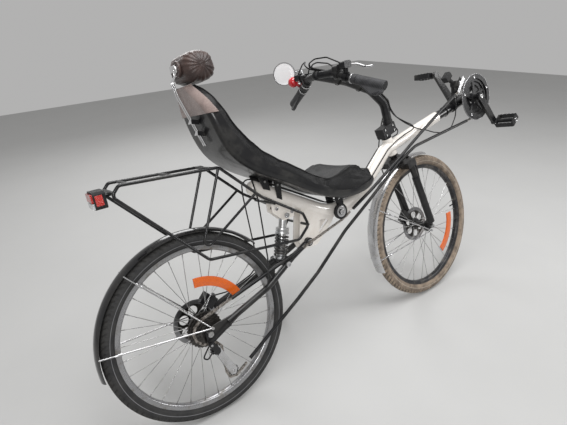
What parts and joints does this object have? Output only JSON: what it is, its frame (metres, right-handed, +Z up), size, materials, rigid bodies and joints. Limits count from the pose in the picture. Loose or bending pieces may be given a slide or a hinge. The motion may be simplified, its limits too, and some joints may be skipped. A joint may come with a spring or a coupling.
{
  "type": "recumbent bicycle",
  "caption": "Leaned-back bicycle with a padded bucket seat, forward pedals on a boom, rear suspension, disc brakes, rack and side stand.",
  "frame": {"origin": "on the ground, under the middle of the bounding box of the parked, leaning bicycle", "axes": "+X forward, +Y to the rider's left, +Z up; the bicycle leans to +Y on its side stand"},
  "size_m": [2.0248, 0.5572, 1.1802],
  "materials": {
    "frame_paint": "pearl white gloss paint",
    "black_metal": "black satin",
    "steel": "bright steel",
    "shock_silver": "satin",
    "shell": "black moulded shell, lightly worn",
    "seat_fabric": "black woven cover",
    "cap_fabric": "taupe cloth",
    "headrest_leather": "dark brown leather, soft sheen",
    "bright": "chrome",
    "lamp": "red lens in a dark body",
    "rear_fender_skin": "black",
    "front_fender_skin": "silver",
    "black_plastic": "black",
    "chain_steel": "oiled steel",
    "silver": "polished",
    "cable": "black housing",
    "rear_tread": "black rubber with a thin light line",
    "front_tread": "dusty brown rubber",
    "rim_silver": "silver",
    "rim_dark": "dark grey",
    "hub_metal": "satin",
    "grip_rubber": "black, soft",
    "mirror_face": "mirror",
    "bell_red": "red gloss",
    "ring_black": "black with worn teeth"
  },
  "bodies": {
    "frame": {"main_frame": "frame_paint", "headset": "black_metal", "boom": "black_metal", "swingarm": "black_metal", "rear_axle": "steel", "rear_shock": "shock_silver", "shock_spring": "black_metal", "seat_shell": "shell", "seat_cushion": "seat_fabric", "seat_cap": "cap_fabric", "seat_brackets": "black_metal", "headrest": "headrest_leather", "headrest_rods": "bright", "rear_rack": "black_metal", "tail_light": "lamp", "rear_fender": "rear_fender_skin", "rear_fender_stays": "steel", "idler": "black_plastic", "chain": "chain_steel", "chain_tubes": "black_plastic", "front_derailleur": "black_metal", "rear_derailleur": "black_metal", "rear_brake_caliper": "black_metal", "stand_bracket": "black_metal", "boom_cables": "cable"},
    "rear_wheel": {"rear_tyre": "rear_tread", "rear_rim": "rim_silver", "rear_spokes": "steel", "rear_hub": "hub_metal", "cassette": "chain_steel", "rear_brake_disc": "steel"},
    "fork": {"steerer": "black_metal", "fork_lowers": "black_metal", "front_axle": "steel", "front_fender": "front_fender_skin", "front_fender_stays": "steel", "front_brake_caliper": "black_metal", "handlebar": "black_metal", "left_grip": "grip_rubber", "right_grip": "grip_rubber", "brake_levers": "silver", "shifters": "black_plastic", "mirror": "bright", "mirror_glass": "mirror_face", "bar_cables": "cable", "bell": "bell_red"},
    "front_wheel": {"front_tyre": "front_tread", "front_rim": "rim_dark", "front_spokes": "steel", "front_hub": "hub_metal", "front_brake_disc": "steel"},
    "crankset": {"chainrings": "ring_black", "crank_arms": "black_metal"},
    "right_pedal": {"right_pedal": "black_plastic"},
    "left_pedal": {"left_pedal": "black_plastic"},
    "side_stand": {"side_stand": "black_metal"}
  },
  "joints": [
    {"name": "rear_wheel_spin", "type": "hinge", "parent": "frame", "child": "rear_wheel", "pos_m": [-0.67142, -0.1618, 0.31825], "axis": [0, 0.9744, -0.225], "continuous": true},
    {"name": "steering", "type": "hinge", "parent": "frame", "child": "fork", "pos_m": [0.32273, -0.07062, 0.71322], "axis": [-0.2924, 0.2151, 0.9318], "range_deg": [-37.3, 32.7]},
    {"name": "front_wheel_spin", "type": "hinge", "parent": "fork", "child": "front_wheel", "pos_m": [0.46756, -0.16102, 0.31806], "axis": [-0.0384, 0.9709, -0.2362], "continuous": true},
    {"name": "crank_spin", "type": "hinge", "parent": "frame", "child": "crankset", "pos_m": [0.87865, -0.04445, 0.82656], "axis": [0, 0.9744, -0.225], "continuous": true},
    {"name": "right_pedal_spin", "type": "hinge", "parent": "crankset", "child": "right_pedal", "pos_m": [0.98096, -0.2114, 0.72576], "axis": [0, 0.9744, -0.225], "continuous": true},
    {"name": "left_pedal_spin", "type": "hinge", "parent": "crankset", "child": "left_pedal", "pos_m": [0.77634, 0.1225, 0.92735], "axis": [0, 0.9744, -0.225], "continuous": true},
    {"name": "side_stand_fold", "type": "hinge", "parent": "frame", "child": "side_stand", "pos_m": [-0.33642, -0.08153, 0.3459], "axis": [0.0076, 0.9394, 0.3429], "range_deg": [0, 97.95]}
  ]
}
